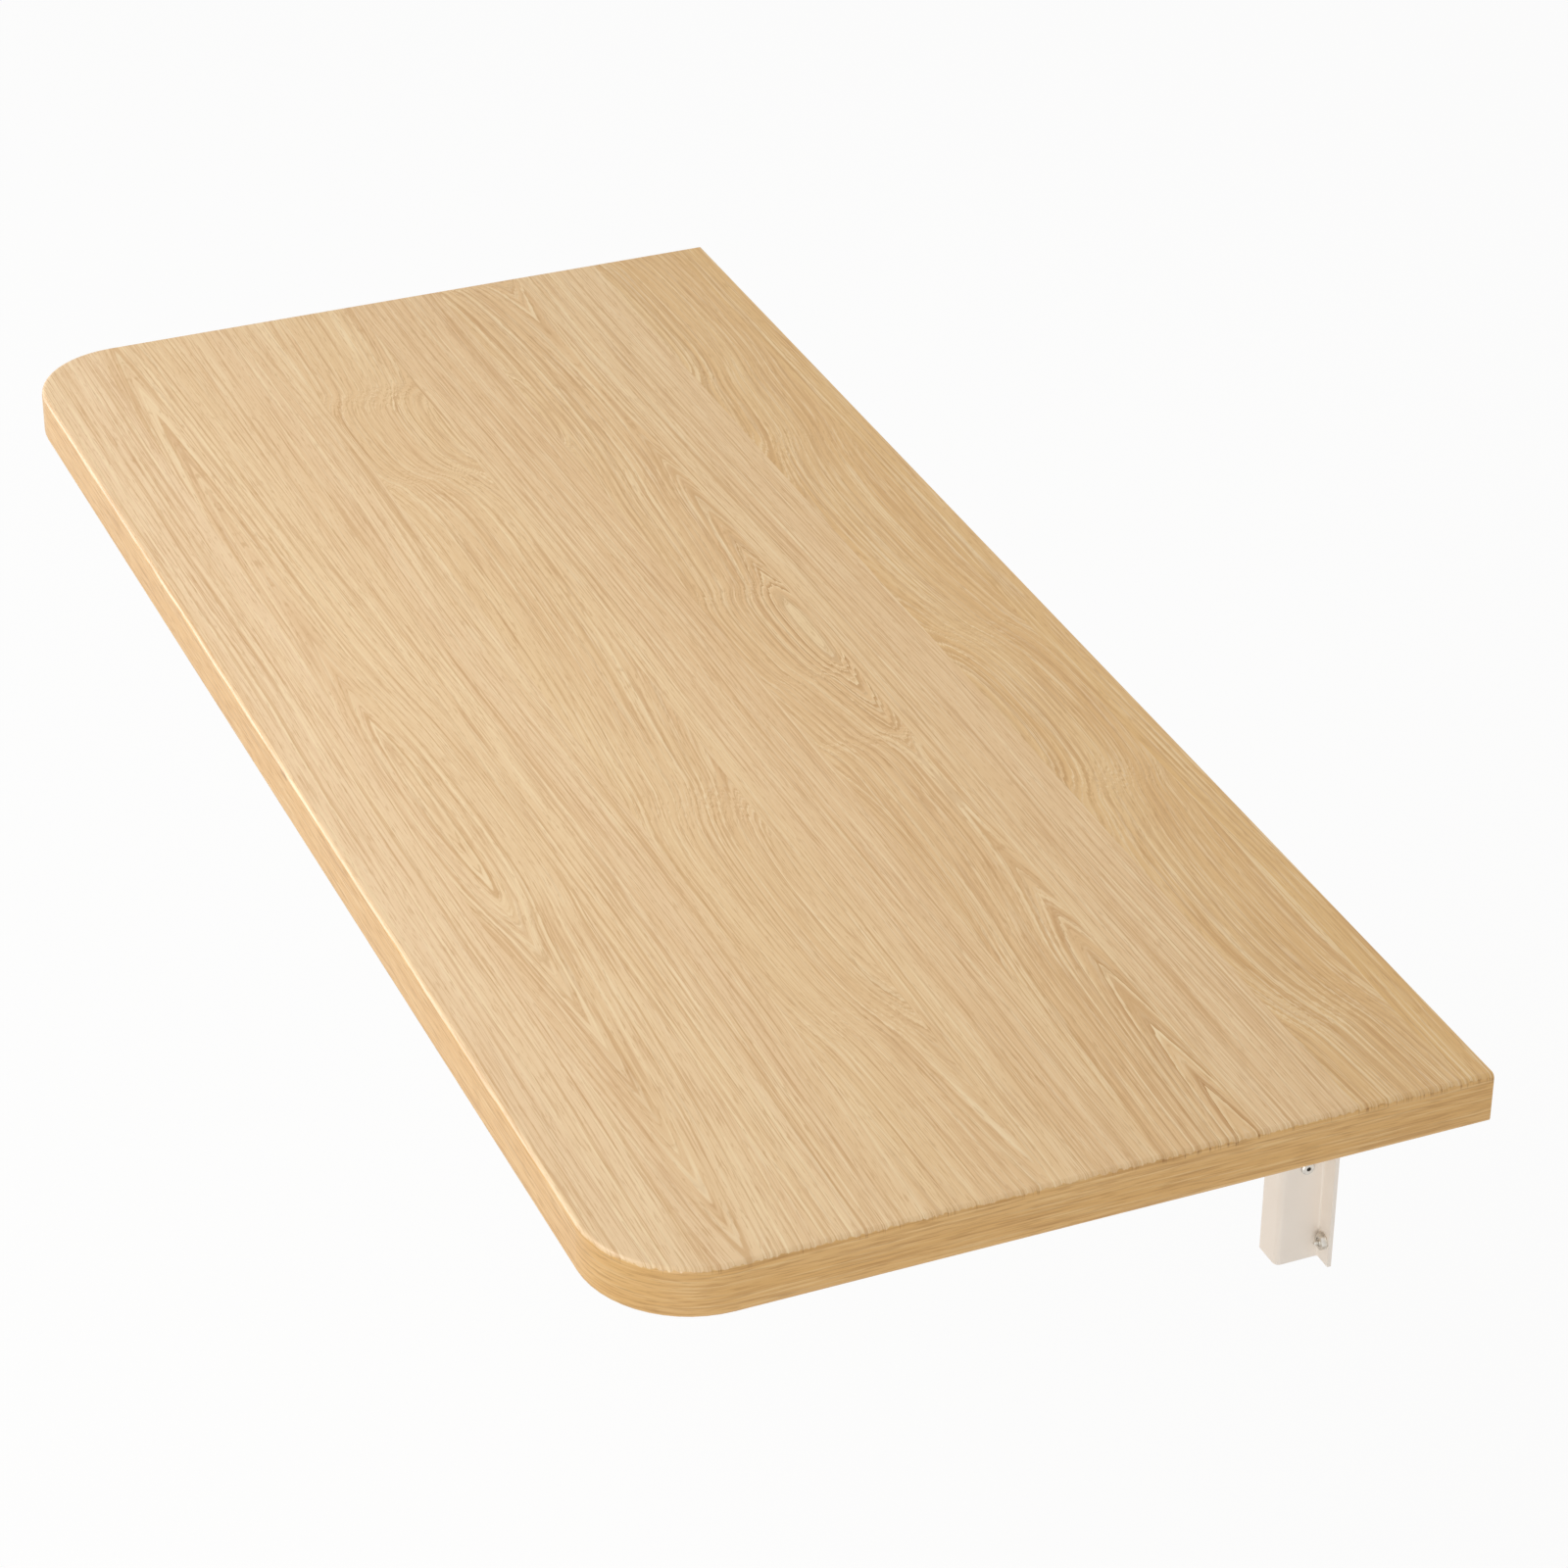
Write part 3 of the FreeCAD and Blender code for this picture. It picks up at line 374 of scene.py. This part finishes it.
# Printed plastic: an oak print under a clear skin, a little darker and glossier than the laminate.
edge_oak, tree, place = new_material("printed_plastic_oak_band")
along = add(tree, "SeparateXYZ", {0: place}, out="X")
across = add(tree, "SeparateXYZ", {0: place}, out="Y")
height = add(tree, "SeparateXYZ", {0: place}, out="Z")
side = add(tree, "Math", {0: along}, operation="SIGN")
depth = add(tree, "Math", {0: across, 1: leaf_low.y}, operation="SUBTRACT")
strip = add(tree, "Math", {0: side, 1: depth, 2: along}, operation="MULTIPLY_ADD")
grain = add(tree, "CombineXYZ", {"X": strip, "Y": height, "Z": EDGE_SHEET})
band_colour, band_pores = streaked(tree, grain, linear(EDGE_GROUND), EDGE_STREAKS)
top_colour, _ = oak_print(tree, place, TOP_SHEET, TOP_STAVES, TOP_HEARTS)
length, width, reach = FEATHER_TEETH
stretched = add(tree, "VectorMath", {0: place, 1: (length, width, length)}, operation="DIVIDE")
teeth = add(tree, "TexNoise", {"Vector": stretched, "Scale": 1, "Detail": 2})
feather = add(tree, "Math", {0: teeth, 1: reach, 2: height}, operation="MULTIPLY_ADD")
start = leaf_high.z - FEATHER_DROP + reach / 2
limits = {"Value": feather, "From Min": start - FEATHER_BLUR, "From Max": start + FEATHER_BLUR}
over = add(tree, "MapRange", limits)
limits = {"Value": feather, "From Min": start - STROKE_REACH, "From Max": start, "To Max": STROKE_STRENGTH}
under = add(tree, "MapRange", limits)
bright = add(tree, "RGBToBW", {0: top_colour})
brown = {"Value": bright, "From Min": STROKE_BROWN[0], "From Max": STROKE_BROWN[1]}
stroke = add(tree, "Math", {0: add(tree, "MapRange", brown), 1: under}, operation="MULTIPLY")
mixed = {SHARE: stroke, FIRST: band_colour, SECOND: linear(STROKE)}
band_colour = add(tree, "Mix", mixed, out=MIXED, data_type="RGBA")
mixed = {SHARE: over, FIRST: band_colour, SECOND: top_colour}
colour = add(tree, "Mix", mixed, out=MIXED, data_type="RGBA")
finish_print(tree, colour, band_pores, EDGE_ROUGHNESS)
dress(edge_oak, "edge_band", "back_edge_band")


# The brackets are 2 mm steel, pressed into top-hat channels: one leg on the wall and one arm under the leaf,
# joined by a folding brace of two plates and a bar. All of them are powder coated cream before they are
# riveted together.
SIDES = ("left", "right")
COATED = ("wall_leg", "arm", "upper_link", "lower_link")
COAT_CLOUD = 30  # mm
COAT_SHADE = "#F3E9DE"
COAT_LIGHT = "#F9F2E9"
COAT_PEEL = 1.1  # mm, coarser than the real half millimetre so that it shows
COAT_PEEL_DEPTH = 0.00003  # m
COAT_PEEL_BUMP = 0.5
COAT_ROUGHNESS = (0.34, 0.48)
NOISE_RANGE = (0.3, 0.7)  # where nearly all of a noise lies


def roughness_limits(noise, roughness):
    """The inputs of a node that turns a noise into a roughness between two values."""
    (low, high), (smooth, dull) = NOISE_RANGE, roughness
    return {"Value": noise, "From Min": low, "From Max": high, "To Min": smooth, "To Max": dull}


# Satin powder coat: an even cream film with a soft sheen, broken by the low bumps of melted powder.
powder_coat, tree, place = new_material("satin_powder_coat")
cloud = add(tree, "TexNoise", {"Vector": place, "Scale": 1 / COAT_CLOUD, "Detail": 3})
tones = {SHARE: cloud, FIRST: linear(COAT_SHADE), SECOND: linear(COAT_LIGHT)}
colour = add(tree, "Mix", tones, out=MIXED, data_type="RGBA")
peel = add(tree, "TexNoise", {"Vector": place, "Scale": 1 / COAT_PEEL, "Detail": 2})
dull = add(tree, "MapRange", roughness_limits(peel, COAT_ROUGHNESS))
peeled = add(tree, "Bump", {"Height": peel, "Strength": COAT_PEEL_BUMP, "Distance": COAT_PEEL_DEPTH})
shader = {"Base Color": colour, "Roughness": dull, "IOR": RESIN_IOR, "Normal": peeled}
add(tree, "OutputMaterial", {"Surface": add(tree, "BsdfPrincipled", shader)})
dress(powder_coat, *[f"{side}_{piece}" for side in SIDES for piece in COATED])


# Pins, tubular rivets, spacers, screws, washers and nuts are turned or pressed steel, zinc plated and dull.
# They are riveted, driven or tightened after the coating, so they stay grey.
PLATED = (
    "hinge_pin", "foot_pin", "foot_spacers", "arm_pin", "arm_spacers", "arm_screws",
    "knee_pin_ends", "knee_pin_core", "stop_rivet", "stop_sleeve", "wall_washers", "wall_nuts",
)
ZINC_PATCH = 2.5  # mm
ZINC_DARK = "#C9C4BC"
ZINC_BRIGHT = "#ECE8E0"
ZINC_GRIT = 0.4  # mm, coarser than the real grain of the plating so that it shows
ZINC_ROUGHNESS = (0.3, 0.5)

# Zinc plated steel: bright grey metal with faint clouds, and a grit that spreads its reflections.
zinc, tree, place = new_material("zinc_plated_steel")
patch = add(tree, "TexNoise", {"Vector": place, "Scale": 1 / ZINC_PATCH, "Detail": 3})
tones = {SHARE: patch, FIRST: linear(ZINC_DARK), SECOND: linear(ZINC_BRIGHT)}
colour = add(tree, "Mix", tones, out=MIXED, data_type="RGBA")
grit = add(tree, "TexNoise", {"Vector": place, "Scale": 1 / ZINC_GRIT, "Detail": 2})
dull = add(tree, "MapRange", roughness_limits(grit, ZINC_ROUGHNESS))
shader = {"Base Color": colour, "Metallic": 1.0, "Roughness": dull}
add(tree, "OutputMaterial", {"Surface": add(tree, "BsdfPrincipled", shader)})
dress(zinc, *[f"{side}_{piece}" for side in SIDES for piece in PLATED])


# The wall's studs are M4 ends that come out of the wall through the flange holes: threaded as far as the nut
# takes, then turned down to a slim pilot tip that stands out of it. They are zinc plated as the nuts are.
STUD_RADIUS = 0.0019  # m, as all sizes of the stud
STUD_ROOT = 0.0016
STUD_PITCH = 0.0007
STUD_TIP_RADIUS = 0.0011
STUD_TIP_LENGTH = 0.0024
STUD_TIP_CHAMFER = 0.0003
STUD_STEPS = 24  # round the stud
stud_places = []
for mount in frame["record"]["mounts"]:
    if mount["kind"] == "bolt_pattern":
        half_x = mount["dims"]["spacing_x_mm"] / MILLIMETRES / 2
        half_z = mount["dims"]["spacing_y_mm"] / MILLIMETRES / 2
        stud_places += [(x, z) for x in (-half_x, half_x) for z in (-half_z, half_z)]
for side, sign in zip(SIDES, (-1, 1)):
    nut_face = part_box(f"{side}_wall_nuts")[0].y
    tip = nut_face - STUD_TIP_LENGTH
    threads = int(-nut_face / STUD_PITCH)
    outline = [(0, 0), (STUD_ROOT, 0)]
    for turn in range(threads):
        outline += [(STUD_RADIUS, -(turn + 0.5) * STUD_PITCH), (STUD_ROOT, -(turn + 1) * STUD_PITCH)]
    outline += [(STUD_TIP_RADIUS, nut_face), (STUD_TIP_RADIUS, tip + STUD_TIP_CHAMFER),
                (STUD_TIP_RADIUS - STUD_TIP_CHAMFER, tip), (0, tip)]
    studs = bmesh.new()
    for x, z in stud_places:
        if x * sign < 0:
            continue
        line = [studs.verts.new((x + radius, y, z)) for radius, y in outline]
        edges = [studs.edges.new(pair) for pair in zip(line, line[1:])]
        bmesh.ops.spin(studs, geom=line + edges, cent=(x, 0, z), axis=(0, 1, 0), angle=math.tau,
                       steps=STUD_STEPS, use_merge=True)
    bmesh.ops.remove_doubles(studs, verts=studs.verts, dist=STUD_ROOT / MILLIMETRES)
    bmesh.ops.recalc_face_normals(studs, faces=studs.faces)
    mesh = bpy.data.meshes.new(f"{side}_wall_studs")
    studs.to_mesh(mesh)
    studs.free()
    mesh.materials.append(zinc)
    stud_object = bpy.data.objects.new(f"{side}_wall_studs", mesh)
    bpy.context.scene.collection.objects.link(stud_object)
    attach(stud_object, "wall_frame")


# The stage: a plain white floor at the height of a room's floor below the table. It looks white to the camera
# and in reflections, and keeps a faint share of the shadow. From below it is clear.
TABLE_HEIGHT = 0.75  # m
FLOOR_HALF = 8.0  # m
FLOOR_PAINT = "#F2F0EC"
FLOOR_WHITE_SHARE = 0.93
WHITE = "#FFFFFF"
floor_mesh = bpy.data.meshes.new("floor")
floor_shape = bmesh.new()
bmesh.ops.create_grid(floor_shape, x_segments=1, y_segments=1, size=FLOOR_HALF,
                      matrix=Matrix.Translation((0, 0, cad_box[1].z - TABLE_HEIGHT)))
floor_shape.to_mesh(floor_mesh)
floor_shape.free()
floor = bpy.data.objects.new("floor", floor_mesh)
bpy.context.scene.collection.objects.link(floor)


def seen_directly(tree):
    """1 for what the camera sees straight or in a reflection, 0 for light on its way."""
    path = add(tree, "LightPath").node.outputs
    seen = path["Is Camera Ray"]
    for ray in ("Is Glossy Ray", "Is Transmission Ray"):
        seen = add(tree, "Math", {0: seen, 1: path[ray]}, operation="MAXIMUM")
    return seen


floor_paint = bpy.data.materials.new("white_studio_floor")
floor_paint.use_nodes = True
tree = floor_paint.node_tree
tree.nodes.clear()
paint = add(tree, "BsdfDiffuse", {"Color": linear(FLOOR_PAINT)})
glow = add(tree, "Emission", {"Color": linear(WHITE), "Strength": 1.0})
share = add(tree, "Math", {0: seen_directly(tree), 1: FLOOR_WHITE_SHARE}, operation="MULTIPLY")
painted = add(tree, "MixShader", {0: share, 1: paint, 2: glow})
below = add(tree, "NewGeometry", out="Backfacing")
one_sided = add(tree, "MixShader", {0: below, 1: painted, 2: add(tree, "BsdfTransparent")})
add(tree, "OutputMaterial", {"Surface": one_sided})
floor_mesh.materials.append(floor_paint)


# The light: an even white room and three soft lamps. The key stands in front of the leaf and above it, the
# fill off the near front corner as low as the leaf, so that it lights the leg, and the rim far off the other
# front corner, where the rounded front arris shines back at the camera.
ROOM_LEVEL = 0.53

# Each lamp: its name, its place from the leaf's middle and its width (m), and its power (W).
LAMPS = (
    ("key_lamp", (-0.08, -1.00, 1.10), 1.0, 11.2),
    ("fill_lamp", (1.82, -1.05, -0.16), 1.0, 8.1),
    ("rim_lamp", (-2.42, -1.77, 0.37), 1.6, 25),
)
world = bpy.data.worlds.new("even_room")
world.use_nodes = True
tree = world.node_tree
tree.nodes.clear()
level = add(tree, "MapRange", {"Value": seen_directly(tree), "To Min": ROOM_LEVEL, "To Max": 1.0})
room = add(tree, "Background", {"Color": linear(WHITE), "Strength": level})
add(tree, "OutputWorld", {"Surface": room})
bpy.context.scene.world = world
core_low, core_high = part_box("leaf_core")
for name, offset, width, watts in LAMPS:
    lamp_data = bpy.data.lights.new(name, "AREA")
    lamp_data.shape = "DISK"
    lamp_data.size = width
    lamp_data.energy = watts
    lamp = bpy.data.objects.new(name, lamp_data)
    lamp.location = (core_low + core_high) / 2 + Vector(offset)
    lamp.rotation_mode = "QUATERNION"
    lamp.rotation_quaternion = (-Vector(offset)).to_track_quat("-Z", "Y")
    bpy.context.scene.collection.objects.link(lamp)


# The camera: a long lens above the leaf's near front corner, looking along the leaf towards the wall. It is
# turned half a degree about its own axis.
CAMERA_PLACE = Vector((1.8678, -0.9417, 1.2834))  # m
CAMERA_AZIMUTH = math.radians(66.729)
CAMERA_ELEVATION = math.radians(31.321)
CAMERA_ROLL = math.radians(0.499)
CAMERA_LENS = 109.510  # mm
CAMERA_SENSOR = 36  # mm
camera_data = bpy.data.cameras.new("camera")
camera_data.sensor_width = CAMERA_SENSOR
camera_data.lens = CAMERA_LENS
camera = bpy.data.objects.new("camera", camera_data)
back = Vector((
    math.sin(CAMERA_AZIMUTH) * math.cos(CAMERA_ELEVATION),
    -math.cos(CAMERA_AZIMUTH) * math.cos(CAMERA_ELEVATION),
    math.sin(CAMERA_ELEVATION),
))
camera.location = CAMERA_PLACE
camera.rotation_mode = "QUATERNION"
camera.rotation_quaternion = (-back).to_track_quat("-Z", "Y") @ Quaternion((0, 0, 1), CAMERA_ROLL)
bpy.context.scene.collection.objects.link(camera)
bpy.context.scene.camera = camera
bpy.context.scene.view_settings.view_transform = "Standard"
